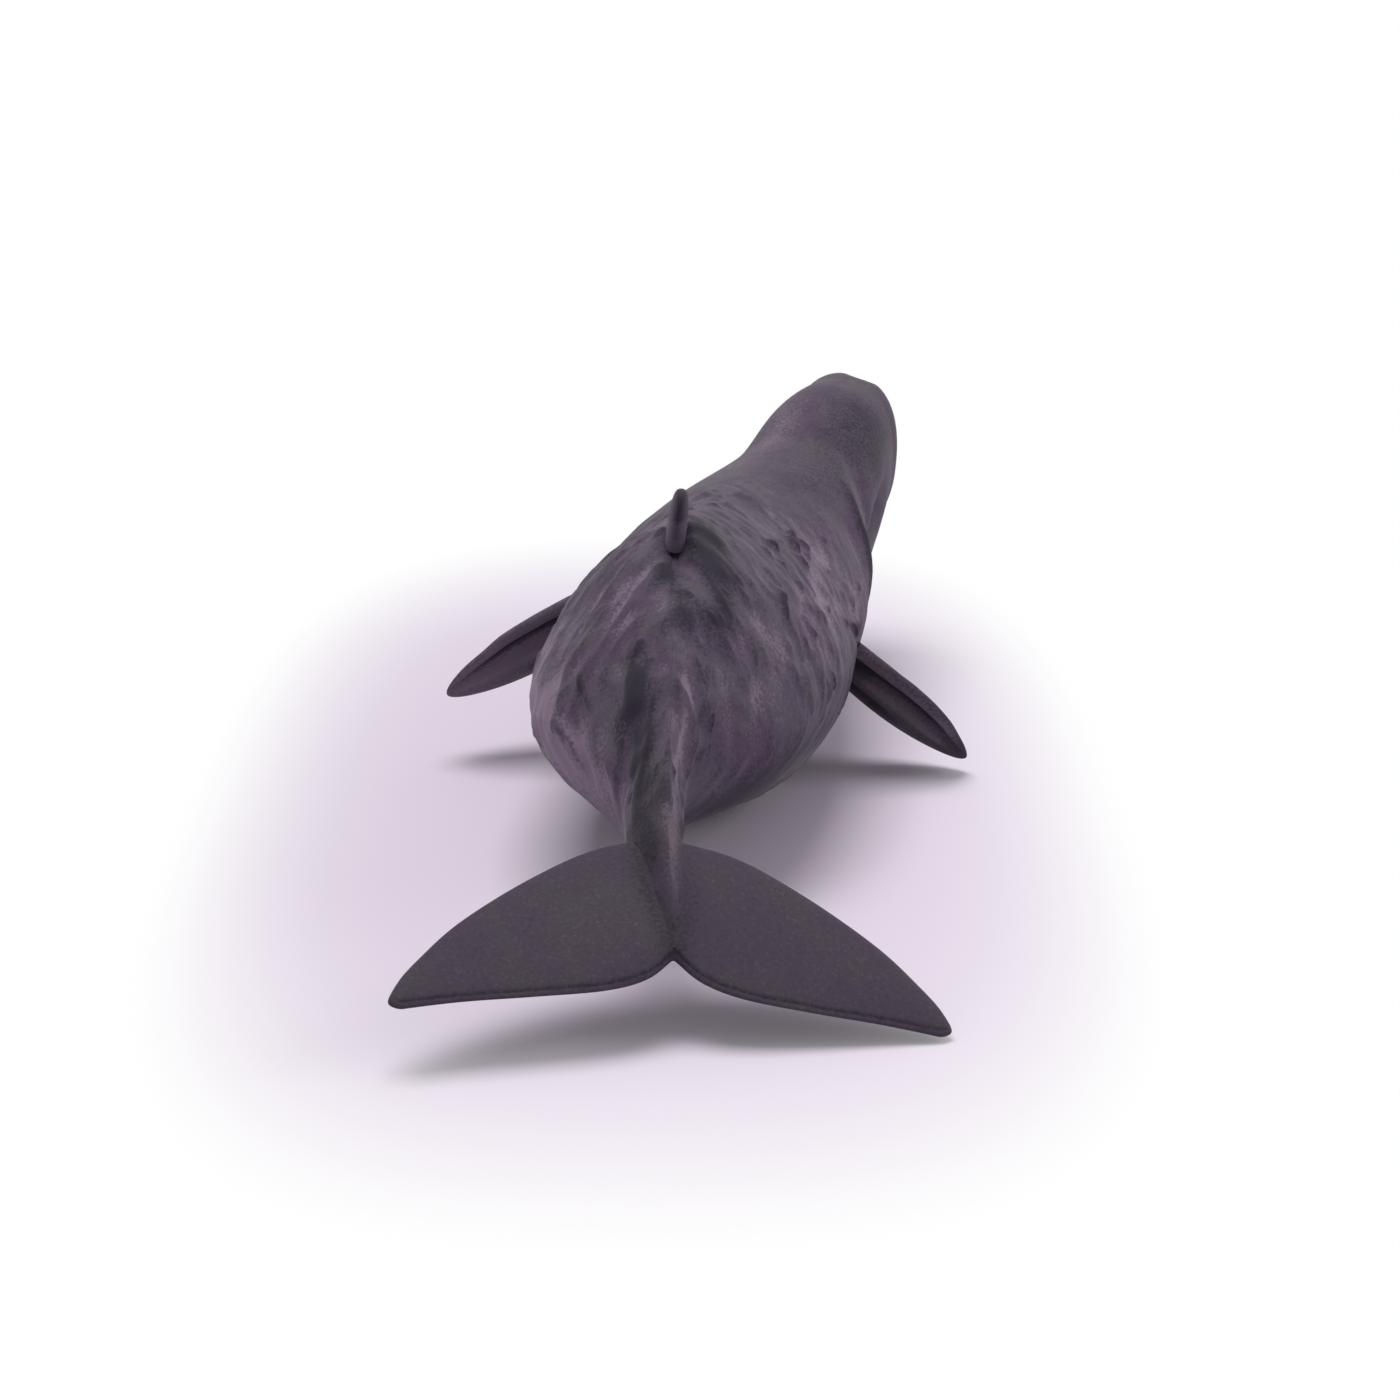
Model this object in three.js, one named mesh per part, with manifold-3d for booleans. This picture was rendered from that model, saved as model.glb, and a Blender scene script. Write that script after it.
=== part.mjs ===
// A sperm whale figurine in soft vinyl, about 29 cm long, lying on its belly.
// The hollow body is moulded as two half shells that meet along the middle of the back and belly.
// Glued to it are the tail flukes, two flippers, the back fin and the lower jaw.
// Millimetres, +Z up, the head towards +Y, the whale's own right towards +X.

import * as THREE from "three";
import { mergeVertices } from "three/addons/utils/BufferGeometryUtils.js";
import Module from "manifold-3d";

// Body: its main sizes, and a row for each section from the notch of the flukes to the front of the
// head. y is how far forward the section's middle is and x how far to the whale's right, as shares of
// the length. z is how high it is, and up and down are its heights above and below the middle, as
// shares of the height. half is its half width, as a share of the width.
// lean tips the section's top towards the whale's right, in degrees.
// ridge and keel say how full it is above and below: 1 is a roof, 2 is round and 3 is boxy.
const bodyLength = 254; // from the notch to the last section
const bodyWidth = 69; // of the trunk
const bodyHeight = 72; // of the trunk
const SECTIONS = [
  { y: 0, x: -0.02, z: 0.23, half: 0.012, up: 0.022, down: 0.022, ridge: 1.6, keel: 1.6, lean: 7 },
  { y: 0.052, x: -0.027, z: 0.333, half: 0.058, up: 0.076, down: 0.069, ridge: 1.2, keel: 1.6, lean: 9 },
  { y: 0.114, x: -0.035, z: 0.417, half: 0.084, up: 0.139, down: 0.125, ridge: 1.2, keel: 1.6, lean: 12 },
  { y: 0.197, x: -0.039, z: 0.5, half: 0.126, up: 0.236, down: 0.208, ridge: 1.2, keel: 1.8, lean: 14 },
  { y: 0.3, x: -0.035, z: 0.528, half: 0.384, up: 0.389, down: 0.292, ridge: 1.4, keel: 1.9, lean: 6 },
  { y: 0.409, x: -0.018, z: 0.535, half: 0.478, up: 0.5, down: 0.389, ridge: 1.5, keel: 1.9, lean: -1 },
  { y: 0.527, x: 0, z: 0.528, half: 0.5, up: 0.478, down: 0.519, ridge: 1.5, keel: 1.9, lean: 1 },
  { y: 0.645, x: 0.02, z: 0.542, half: 0.478, up: 0.402, down: 0.556, ridge: 1.5, keel: 2.1, lean: 4 },
  { y: 0.748, x: 0.047, z: 0.569, half: 0.449, up: 0.37, down: 0.5, ridge: 1.6, keel: 2, lean: 5 },
  { y: 0.851, x: 0.094, z: 0.653, half: 0.312, up: 0.319, down: 0.361, ridge: 2, keel: 2, lean: 5 },
  { y: 0.938, x: 0.122, z: 0.708, half: 0.261, up: 0.361, down: 0.306, ridge: 2.3, keel: 2, lean: 5 },
  { y: 1, x: 0.142, z: 0.736, half: 0.217, up: 0.347, down: 0.292, ridge: 2.4, keel: 2.1, lean: 7 },
];
const noseLength = 16; // how far the blunt nose reaches past the last section
const noseFullness = 2.6;
const wall = 3.5; // thickness of the moulded skin
const hollowStart = 3.6; // the hollow starts this many rows in, and the tail behind it is solid
const partingGap = 0.2; // between the two half shells
const fitGap = 0.3; // between a piece and what it is seated in

// Glue pins of the left half shell, and their sockets on the right one.
const pinRows = [4.7, 8.2];
const pinRadius = 2.5;
const pinReach = 7; // past the parting line
const socketWall = 2.2;
const socketBottom = 1; // room past the end of the pin

// Tail flukes: one blade whose tips droop, on the end of the tail stock.
// Each edge is a list of places: out from the middle, as a share of the half span, and forward
// from the notch, as a share of the root chord.
const tailJoint = 2.35; // rows from the notch to where the stock's end butts against the body
const flukeHalfSpan = 55;
const flukeRootChord = 31;
const flukeLeadingEdge = [[0, 1], [0.25, 0.885], [0.5, 0.6], [0.75, 0.22], [0.9, -0.1], [1, -0.36]];
const flukeTrailingEdge = [[0, 0], [0.1, -0.175], [0.25, -0.285], [0.5, -0.36], [0.75, -0.42], [1, -0.5]];
const flukeRootThickness = 7;
const flukeTipThickness = 2.4;
const flukeTipRound = 3;
const flukeDroop = { left: 2.3, right: 3.3 }; // how far each tip hangs below the notch
const flukeBend = { left: 0, right: 3 }; // and how far it is bent forwards, where it rests on the ground
const flukeYaw = 3.5;
const flukePitch = 28;
const flukeLean = 8.2;
const tongueWidth = 6;
const tongueHeight = 8;
const tongueLength = 9;

// Back fin: a low hooked blade on the parting line.
const finRow = 5;
const finLength = 22;
const finHeight = 11.5;
const finThickness = 4.4;
const finHook = 7; // how far the tip trails the middle of the base
const finRise = 0.6; // how full its outline is: 0.5 is an ellipse and 1 is a bell
const finTurn = 8; // its front end points this many degrees left of the body's line
const finLean = 8; // and its tip this many degrees to the right
const finTenonLength = 13;
const finTenonThickness = 2.4;
const finTenonDepth = 3;

// Flippers: a paddle on each flank, its root this many degrees round from the back.
const flipperRow = { left: 7.1, right: 7 };
const flipperAngle = { left: 97, right: 101.5 };
const flipperLength = { left: 40, right: 37 };
const flipperRootChord = 20;
const flipperMidChord = 23.5;
const flipperTipChord = 13;
const flipperRootThickness = 4.6;
const flipperTipThickness = 2.4;
const flipperTipFullness = 6; // how late the blade rounds off: 2 is an ellipse, more is blunter
const flipperSweep = { left: 9, right: -3 };
const flipperDroop = { left: 35, right: 35 };
const flipperTwist = { left: 42, right: 37 }; // how steeply the blade stands, with its upper edge behind
const flipperLean = 6.5;
const pegRadius = 2.2;
const pegFlat = 1.5; // the peg is this many times as wide as it is thick
const pegReach = 8; // into the flank

// Lower jaw: a slim rod that leaves the throat and runs under the head, with a row of teeth each side.
const jawRear = 8.25;
const jawFront = 10.75;
const jawHalfWidth = 6.5;
const jawTipHalfWidth = 3.2;
const jawDepth = 7;
const jawTipDepth = 4.5;
const jawTipFullness = 8;
const jawSink = 1.5; // how deep the middle of its rear end sits in the throat
const jawOpening = 2.6; // between the tip of the jaw and the head
const teethEachSide = 8;
const teethFrom = 0.5; // the rows run from here to there along the jaw
const teethTo = 0.94;
const teethApart = 0.55; // the rows are this share of the jaw's width apart
const toothRadius = 0.9;
const toothHeight = 2;
const toothRoot = 1; // sunk in the jaw
const jawTabWidth = 5;
const jawTabLength = 7;
const jawTabHeight = 9; // up through the skin of the throat
const jawTabRoot = 2.5; // down into the jaw
const jawTabRow = 8.7;

// Eyes: a moulded bump on each side of the head.
const eyeRow = 8.95;
const eyeAngle = 112;
const eyeRadius = 2;

const skin = new THREE.MeshStandardMaterial({ color: 0x5b515e, roughness: 0.62, metalness: 0 });
const smoothSkin = new THREE.MeshStandardMaterial({ color: 0x4a424c, roughness: 0.6, metalness: 0 });
const finSkin = new THREE.MeshStandardMaterial({ color: 0x352c3b, roughness: 0.6, metalness: 0 });
const jawSkin = new THREE.MeshStandardMaterial({ color: 0x6a6069, roughness: 0.6, metalness: 0 });

// How finely the curved pieces are cut into facets.
const bodyRings = 40;
const noseRings = 7;
const hollowRings = 24;
const arcSteps = 15;
const flukeRings = 22;
const finRings = 8;
const flipperRings = 16;
const jawRings = 18;
const smallSteps = 16;

const rad = THREE.MathUtils.degToRad;
const lerp = THREE.MathUtils.lerp;
const quarter = Math.PI / 2;
const wasm = await Module();
wasm.setup();

// A closed geometry as a solid that can be joined and cut.
function solid(geometry) {
  const bare = geometry.clone();
  bare.deleteAttribute("normal");
  bare.deleteAttribute("uv");
  const merged = mergeVertices(bare, 1e-4);
  return new wasm.Manifold(
    new wasm.Mesh({
      numProp: 3,
      vertProperties: merged.attributes.position.array,
      triVerts: new Uint32Array(merged.index.array),
    }),
  );
}

// A solid as a named mesh.
function piece(name, shape, material) {
  const mesh = shape.getMesh();
  const geometry = new THREE.BufferGeometry();
  geometry.setAttribute("position", new THREE.BufferAttribute(mesh.vertProperties, 3));
  geometry.setIndex(new THREE.BufferAttribute(mesh.triVerts, 1));
  geometry.computeVertexNormals();
  const made = new THREE.Mesh(geometry, material);
  made.name = name;
  return made;
}

const along = (origin, direction, distance) => origin.clone().addScaledVector(direction, distance);
const middleOf = (points) =>
  points.reduce((sum, point) => sum.add(point), new THREE.Vector3()).divideScalar(points.length);

// Closed loops of points, one behind the other, skinned over and closed by a point at each end.
function loft(loops, lastTip = middleOf(loops.at(-1))) {
  const size = loops[0].length;
  const points = [...loops.flat(), middleOf(loops[0]), lastTip];
  const first = points.length - 2;
  const faces = [];
  for (let i = 0; i < loops.length; i++) {
    for (let j = 0; j < size; j++) {
      const a = i * size + j;
      const b = i * size + ((j + 1) % size);
      if (i === 0) faces.push([b, a, first]);
      if (i === loops.length - 1) faces.push([a, b, first + 1]);
      else faces.push([a, b, a + size], [b, b + size, a + size]);
    }
  }
  const build = (list) => {
    const geometry = new THREE.BufferGeometry();
    const numbers = points.flatMap((point) => point.toArray());
    geometry.setAttribute("position", new THREE.Float32BufferAttribute(numbers, 3));
    geometry.setIndex(list.flat());
    return solid(geometry);
  };
  const made = build(faces);
  return made.volume() > 0 ? made : build(faces.map(([a, b, c]) => [b, a, c]));
}

// A closed loop of points round an ellipse.
function ellipse(centre, long, halfLong, short, halfShort) {
  return Array.from({ length: smallSteps }, (_, i) => {
    const angle = (2 * Math.PI * i) / smallSteps;
    return along(along(centre, long, halfLong * Math.cos(angle)), short, halfShort * Math.sin(angle));
  });
}

// A standard geometry moved so that its own x, y and z lie along three axes from an origin.
function placed(geometry, origin, { side, up, forward }) {
  const frame = new THREE.Matrix4().makeBasis(side, up, forward.clone().negate()).setPosition(origin);
  return solid(geometry.clone().applyMatrix4(frame));
}

const through = (points) => new THREE.CatmullRomCurve3(points, false, "catmullrom");
const curveOf = (place) => through(SECTIONS.map((s) => new THREE.Vector3(...place(s))));
const spine = curveOf((s) => [s.x * bodyLength, s.y * bodyLength, s.z * bodyHeight]);
const girth = curveOf((s) => [s.half * bodyWidth, s.up * bodyHeight, s.down * bodyHeight]);
const form = curveOf((s) => [s.ridge, s.keel, s.lean]);
const lastRow = SECTIONS.length - 1;

// The section of the body at a row of the table, which may lie between two rows.
// turn runs from 0 to 90 degrees over the nose, and inset draws the whole section inwards.
function sectionAt(row, turn = 0, inset = 0) {
  const share = row / lastRow;
  const size = girth.getPoint(share);
  const shape = form.getPoint(share);
  const forward = spine.getTangent(share);
  const upright = new THREE.Vector3(0, 0, 1).addScaledVector(forward, -forward.z).normalize();
  const up = upright.applyAxisAngle(forward, rad(shape.z));
  const shrink = Math.pow(Math.max(Math.cos(turn), 0), 2 / noseFullness);
  const reach = Math.pow(Math.sin(turn), 2 / noseFullness) * (noseLength - inset);
  return {
    forward,
    up,
    side: new THREE.Vector3().crossVectors(forward, up),
    middle: along(spine.getPoint(share), forward, reach),
    half: (size.x - inset) * shrink,
    top: (size.y - inset) * shrink,
    bottom: (size.z - inset) * shrink,
    ridge: shape.x,
    keel: shape.y,
  };
}

// A point on a section's outline. angle is 0 at the back and half a turn at the belly,
// hand is 1 on the right and -1 on the left, and start leaves half a gap at the parting line.
function outlinePoint(section, angle, hand, start = 0) {
  const above = angle < quarter;
  const power = 2 / (above ? section.ridge : section.keel);
  const across = Math.pow(Math.abs(Math.sin(angle)), power) * section.half;
  const rise = Math.pow(Math.abs(Math.cos(angle)), power) * (above ? section.top : -section.bottom);
  return along(along(section.middle, section.side, hand * (start + across)), section.up, rise);
}

const arcStep = Math.PI / arcSteps;
const arc = (section, hand, start) =>
  Array.from({ length: arcSteps + 1 }, (_, i) => outlinePoint(section, arcStep * i, hand, start));
const fullLoop = (section) => [...arc(section, 1), ...arc(section, -1).slice(1, -1).reverse()];

// Evenly spaced sections from one row to another, and those over the nose.
const sectionsBetween = (from, to, rings, inset = 0) =>
  Array.from({ length: rings + 1 }, (_, i) => sectionAt(lerp(from, to, i / rings), 0, inset));
const noseSections = (inset = 0) =>
  Array.from({ length: noseRings - 1 }, (_, i) => sectionAt(lastRow, (quarter * (i + 1)) / noseRings, inset));

// The body as one full solid, drawn inwards or grown outwards.
function wholeBody(from, rings, inset) {
  const sections = [...sectionsBetween(from, lastRow, rings, inset), ...noseSections(inset)];
  return loft(sections.map(fullLoop), sectionAt(lastRow, quarter, inset).middle);
}

const hollow = wholeBody(hollowStart, hollowRings, wall);
const midWall = wholeBody(hollowStart, hollowRings, wall / 2);
const grownBody = wholeBody(tailJoint, bodyRings, -fitGap);
const groundSize = 500;
const groundBox = new THREE.BoxGeometry(groundSize, groundSize, groundSize);
const ground = solid(groundBox.translate(0, 0, -groundSize / 2));

// A round bar across the body at a pin's place, from a distance past the parting line outwards.
function crossBar(row, hand, radius, past, outwards) {
  const section = sectionAt(row);
  const length = outwards + past;
  const bar = new THREE.CylinderGeometry(radius, radius, length, smallSteps).rotateZ(quarter);
  return placed(bar, along(section.middle, section.side, hand * (length / 2 - past)), section);
}

// One half of the body: a shell with a solid tail end and a flat rim along the parting line.
function bodyHalf(hand, cutters) {
  const sections = [...sectionsBetween(tailJoint, lastRow, bodyRings), ...noseSections()];
  const start = partingGap / 2;
  const tip = sectionAt(lastRow, quarter);
  const half = loft(sections.map((s) => arc(s, hand, start)), along(tip.middle, tip.side, hand * start));
  let shape = half.subtract(hollow);
  for (const row of pinRows) {
    const outwards = sectionAt(row).half;
    if (hand < 0) {
      shape = shape.add(crossBar(row, hand, pinRadius, pinReach, outwards).intersect(midWall));
    } else {
      const bore = pinRadius + fitGap;
      const boss = crossBar(row, hand, bore + socketWall, -start, outwards).intersect(midWall);
      shape = shape.add(boss).subtract(crossBar(row, hand, bore, start, pinReach + socketBottom));
    }
  }
  const eye = outlinePoint(sectionAt(eyeRow), rad(eyeAngle), hand);
  const bump = new THREE.SphereGeometry(eyeRadius, smallSteps, smallSteps / 2);
  shape = shape.add(solid(bump.translate(eye.x, eye.y, eye.z)));
  for (const cutter of cutters) shape = shape.subtract(cutter);
  return shape.subtract(ground);
}

// Reads an edge of the flukes, how far forward it is at a share of the half span.
function edgeAt(points, out) {
  const curve = through(points.map(([outwards, forwards]) => new THREE.Vector3(outwards, forwards, 0)));
  let low = 0;
  let high = 1;
  while (high - low > 1e-6) {
    const mid = (low + high) / 2;
    if (curve.getPoint(mid).x < out) low = mid;
    else high = mid;
  }
  return curve.getPoint(low).y * flukeRootChord;
}

// The flukes' blade, one loop of points for each distance out from the middle.
function flukeBlade() {
  const turn = new THREE.Euler(rad(flukePitch), rad(flukeLean), rad(flukeYaw), "ZXY");
  const turned = (x, y, z) => new THREE.Vector3(x, y, z).applyEuler(turn);
  const side = turned(1, 0, 0);
  const forward = turned(0, 1, 0);
  const up = turned(0, 0, 1);
  const loops = [];
  for (let i = 1; i < 2 * flukeRings; i++) {
    const share = -Math.cos((quarter * i) / flukeRings);
    const reach = flukeHalfSpan * Math.abs(share);
    const fore = edgeAt(flukeLeadingEdge, Math.abs(share));
    const aft = edgeAt(flukeTrailingEdge, Math.abs(share));
    const late = Math.max(reach - (flukeHalfSpan - flukeTipRound), 0) / flukeTipRound;
    const round = Math.sqrt(1 - late * late);
    const thick = lerp(flukeRootThickness, flukeTipThickness, Math.sqrt(Math.abs(share)));
    const out = along(spine.getPoint(0), side, flukeHalfSpan * share);
    const hand = share < 0 ? "left" : "right";
    const line = along(out, up, -flukeDroop[hand] * share * share);
    const centre = along(line, forward, (fore + aft) / 2 + flukeBend[hand] * share * share);
    loops.push(ellipse(centre, forward, ((fore - aft) / 2) * round, up, (thick / 2) * round));
  }
  return loft(loops);
}

// The flukes with the end of the tail stock and the tongue that plugs into the body.
function tongue(grow) {
  const joint = sectionAt(tailJoint);
  const box = new THREE.BoxGeometry(tongueWidth + grow, tongueHeight + grow, 2 * tongueLength + grow);
  return placed(box, joint.middle, joint);
}
function tailFlukes() {
  const stock = loft(sectionsBetween(0, tailJoint, smallSteps).map(fullLoop));
  return stock.add(flukeBlade()).subtract(grownBody).add(tongue(0)).subtract(ground);
}

// The back fin: a blade lofted upwards from under the skin, with a tenon that the halves clamp.
const finBase = outlinePoint(sectionAt(finRow), 0, 1);
function finAxes() {
  const section = sectionAt(finRow);
  const forward = section.forward.clone().applyAxisAngle(section.up, rad(finTurn));
  const up = section.up.clone().applyAxisAngle(forward, rad(finLean));
  return { forward, up, side: new THREE.Vector3().crossVectors(forward, up) };
}
function finTenon(grow) {
  const height = 2 * finTenonDepth + grow;
  const box = new THREE.BoxGeometry(finTenonThickness + grow, height, finTenonLength + grow);
  return placed(box, finBase, finAxes());
}
function dorsalFin() {
  const { side, up, forward } = finAxes();
  const loops = Array.from({ length: finRings }, (_, i) => {
    const rise = lerp(-finTenonDepth, finHeight, i / finRings);
    const share = Math.max(rise, 0) / finHeight;
    const full = Math.pow(1 - share * share, finRise);
    const centre = along(along(finBase, up, rise), forward, -finHook * share);
    return ellipse(centre, forward, (finLength * full) / 2, side, (finThickness * Math.sqrt(full)) / 2);
  });
  const tip = along(along(finBase, up, finHeight), forward, -finHook);
  return loft(loops, tip).subtract(grownBody).add(finTenon(0));
}

// The frame of a flipper: its root on the flank, out along the blade, and across it.
function flipperFrame(name, hand) {
  const root = outlinePoint(sectionAt(flipperRow[name]), rad(flipperAngle[name]), hand);
  const order = new THREE.Euler(0, rad(hand * flipperDroop[name]), rad(-hand * flipperSweep[name]), "YZX");
  const twist = rad(flipperTwist[name]);
  const [side, up] = [
    new THREE.Vector3(hand, 0, 0),
    new THREE.Vector3(0, -Math.cos(twist), Math.sin(twist)),
  ].map((axis) => axis.applyEuler(order).applyAxisAngle(new THREE.Vector3(0, 1, 0), rad(flipperLean)));
  const forward = new THREE.Vector3().crossVectors(up, side);
  return { root, side, up, forward, length: flipperLength[name] };
}

function flipperPeg(frame, grow) {
  const radius = pegRadius + grow;
  const peg = new THREE.CylinderGeometry(radius, radius, 2 * (pegReach + grow), smallSteps);
  return placed(peg.rotateZ(quarter).scale(1, pegFlat, 1), frame.root, frame);
}

function flipper(frame) {
  const bury = pegReach / 2;
  const loops = Array.from({ length: flipperRings }, (_, i) => {
    const share = Math.sin((quarter * i) / flipperRings);
    const round = Math.sqrt(1 - Math.pow(share, flipperTipFullness));
    const plain = lerp(flipperRootChord, flipperTipChord, share);
    const swell = (flipperMidChord - (flipperRootChord + flipperTipChord) / 2) * Math.sin(Math.PI * share);
    const thick = lerp(flipperRootThickness, flipperTipThickness, share);
    const centre = along(frame.root, frame.side, lerp(-bury, frame.length, share));
    return ellipse(centre, frame.up, ((plain + swell) / 2) * round, frame.forward, (thick / 2) * round);
  });
  const blade = loft(loops, along(frame.root, frame.side, frame.length));
  return blade.subtract(grownBody).add(flipperPeg(frame, 0));
}

// The middle line of the lower jaw, from inside the throat to below the nose.
function jawAt(share) {
  const section = sectionAt(lerp(jawRear, jawFront, share));
  const depth = lerp(jawDepth, jawTipDepth, share);
  const drop = lerp(-jawSink, jawOpening + depth / 2, share);
  const half = lerp(jawHalfWidth, jawTipHalfWidth, share);
  return { ...section, depth, half, centre: along(section.middle, section.up, -section.bottom - drop) };
}

function jawTab(grow) {
  const root = jawAt((jawTabRow - jawRear) / (jawFront - jawRear));
  const tall = jawTabHeight + jawTabRoot;
  const box = new THREE.BoxGeometry(jawTabWidth + grow, tall + grow, jawTabLength + grow);
  return placed(box.translate(0, tall / 2 - jawTabRoot, 0), root.centre, root);
}

function lowerJaw() {
  const loops = Array.from({ length: jawRings }, (_, i) => {
    const share = Math.sin((quarter * i) / jawRings);
    const round = Math.sqrt(1 - Math.pow(share, jawTipFullness));
    const { side, up, depth, half, centre } = jawAt(share);
    return ellipse(centre, side, half * round, up, (depth / 2) * round);
  });
  let jaw = loft(loops, jawAt(1).centre);
  for (let i = 0; i < teethEachSide; i++) {
    const at = jawAt(lerp(teethFrom, teethTo, i / (teethEachSide - 1)));
    const top = (at.depth / 2) * Math.sqrt(1 - teethApart * teethApart);
    for (const hand of [-1, 1]) {
      const foot = along(along(at.centre, at.side, hand * at.half * teethApart), at.up, top);
      const cone = new THREE.ConeGeometry(toothRadius, toothHeight + toothRoot, smallSteps / 2);
      jaw = jaw.add(placed(cone.translate(0, (toothHeight - toothRoot) / 2, 0), foot, at));
    }
  }
  return jaw.subtract(grownBody).add(jawTab(0));
}

const leftFrame = flipperFrame("left", -1);
const rightFrame = flipperFrame("right", 1);
const slots = [tongue(2 * fitGap), finTenon(2 * fitGap), jawTab(2 * fitGap)];

const whale = new THREE.Group();
whale.add(piece("body_left", bodyHalf(-1, [...slots, flipperPeg(leftFrame, fitGap)]), skin));
whale.add(piece("body_right", bodyHalf(1, [...slots, flipperPeg(rightFrame, fitGap)]), skin));
whale.add(piece("tail_flukes", tailFlukes(), smoothSkin));
whale.add(piece("dorsal_fin", dorsalFin(), finSkin));
whale.add(piece("flipper_left", flipper(leftFrame), smoothSkin));
whale.add(piece("flipper_right", flipper(rightFrame), smoothSkin));
whale.add(piece("lower_jaw", lowerJaw(), jawSkin));

// The origin is on the ground, below the middle of the whole figurine.
const box = new THREE.Box3().setFromObject(whale);
whale.position.set(-(box.min.x + box.max.x) / 2, -(box.min.y + box.max.y) / 2, -box.min.z);

export default whale;
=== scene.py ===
import math

import bmesh
import bpy
import numpy as np
from mathutils import Matrix, Vector


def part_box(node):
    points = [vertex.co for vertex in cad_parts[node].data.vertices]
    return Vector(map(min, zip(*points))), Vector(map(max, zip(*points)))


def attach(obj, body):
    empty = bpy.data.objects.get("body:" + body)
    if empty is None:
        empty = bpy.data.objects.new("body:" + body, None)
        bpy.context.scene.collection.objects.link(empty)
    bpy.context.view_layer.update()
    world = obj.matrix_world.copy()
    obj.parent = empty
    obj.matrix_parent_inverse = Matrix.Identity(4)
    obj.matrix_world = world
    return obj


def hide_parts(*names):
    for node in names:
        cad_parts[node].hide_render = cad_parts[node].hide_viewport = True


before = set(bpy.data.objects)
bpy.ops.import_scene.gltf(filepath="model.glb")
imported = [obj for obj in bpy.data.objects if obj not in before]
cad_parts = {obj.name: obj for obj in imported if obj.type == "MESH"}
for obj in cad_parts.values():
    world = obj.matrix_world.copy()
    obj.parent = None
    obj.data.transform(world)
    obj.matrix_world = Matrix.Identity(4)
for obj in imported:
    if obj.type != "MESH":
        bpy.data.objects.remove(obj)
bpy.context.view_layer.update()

# Body: a hollow casting in soft vinyl, in a left and a right half that are glued together along the
# middle of the back and of the belly. The other pieces are glued into sockets in its skin.
BODY_LENGTH = 0.254
BODY_WIDTH = 0.069
BODY_HEIGHT = 0.072
# Each row of the table is a cross-section, from the notch of the flukes forwards. Its middle is given
# first: to the right and forwards as shares of the length, and up as a share of the height. Then come
# its half width and its heights above and below the middle, as shares, how full it is above and below
# them, where 1 is a roof and 2 is round, and its tilt in degrees.
SECTIONS = np.array([
    [-0.020, 0.000, 0.230, 0.012, 0.022, 0.022, 1.6, 1.6, 7],
    [-0.027, 0.052, 0.333, 0.058, 0.076, 0.069, 1.2, 1.6, 9],
    [-0.035, 0.114, 0.417, 0.084, 0.139, 0.125, 1.2, 1.6, 12],
    [-0.039, 0.197, 0.500, 0.126, 0.236, 0.208, 1.2, 1.8, 14],
    [-0.035, 0.300, 0.528, 0.384, 0.389, 0.292, 1.4, 1.9, 6],
    [-0.018, 0.409, 0.535, 0.478, 0.500, 0.389, 1.5, 1.9, -1],
    [0.000, 0.527, 0.528, 0.500, 0.478, 0.519, 1.5, 1.9, 1],
    [0.020, 0.645, 0.542, 0.478, 0.402, 0.556, 1.5, 2.1, 4],
    [0.047, 0.748, 0.569, 0.449, 0.370, 0.500, 1.6, 2.0, 5],
    [0.094, 0.851, 0.653, 0.312, 0.319, 0.361, 2.0, 2.0, 5],
    [0.122, 0.938, 0.708, 0.261, 0.361, 0.306, 2.3, 2.0, 5],
    [0.142, 1.000, 0.736, 0.217, 0.347, 0.292, 2.4, 2.1, 7],
])
NOSE_LENGTH = 0.016
NOSE_FULLNESS = 2.6
WALL = 0.0035
TAIL_JOINT = 2.35  # the row where the body ends and the flukes' stock goes on
HOLLOW_START = 3.6  # the row from which the casting is hollow
SEAM = 0.00004  # between the halves: they are glued tight
LAST_ROW = len(SECTIONS) - 1
MM = 0.001

scales = [BODY_LENGTH, BODY_LENGTH, BODY_HEIGHT, BODY_WIDTH, BODY_HEIGHT, BODY_HEIGHT, 1, 1, 1]
ROWS = SECTIONS * scales


def curve_at(rows, at):
    """Values between the rows of a table, on a Catmull-Rom curve that runs straight on at its ends."""
    rows = np.vstack([2 * rows[0] - rows[1], rows, 2 * rows[-1] - rows[-2]])
    at = np.clip(at, 0, len(rows) - 3)
    cell = np.minimum(at.astype(int), len(rows) - 4)
    share = (at - cell)[..., None]
    before, start, end, after = (rows[cell + step] for step in range(4))
    leave = (end - before) / 2
    arrive = (after - start) / 2
    cubic = 2 * (start - end) + leave + arrive
    square = 3 * (end - start) - 2 * leave - arrive
    return ((cubic * share + square) * share + leave) * share + start


def unit(vectors):
    """Vectors made one long."""
    return vectors / np.maximum(np.linalg.norm(vectors, axis=-1, keepdims=True), 1e-12)


def smooth(value, low, high):
    """0 at low, 1 at high and an S-curve between them; low may be the greater."""
    share = np.clip((value - low) / (high - low), 0, 1)
    return share * share * (3 - 2 * share)


def body_axes(row):
    """Forward along the body at a row, and the section's up and right, turned by its lean."""
    small = 0.001
    ahead = curve_at(ROWS, row + small) - curve_at(ROWS, row - small)
    forward = unit(ahead[..., :3])
    upright = unit(np.array([0, 0, 1.0]) - forward * forward[..., 2:])
    lean = np.radians(curve_at(ROWS, row)[..., 8:])
    up = upright * np.cos(lean) + np.cross(forward, upright) * np.sin(lean)
    return forward, up, np.cross(forward, up)


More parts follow.
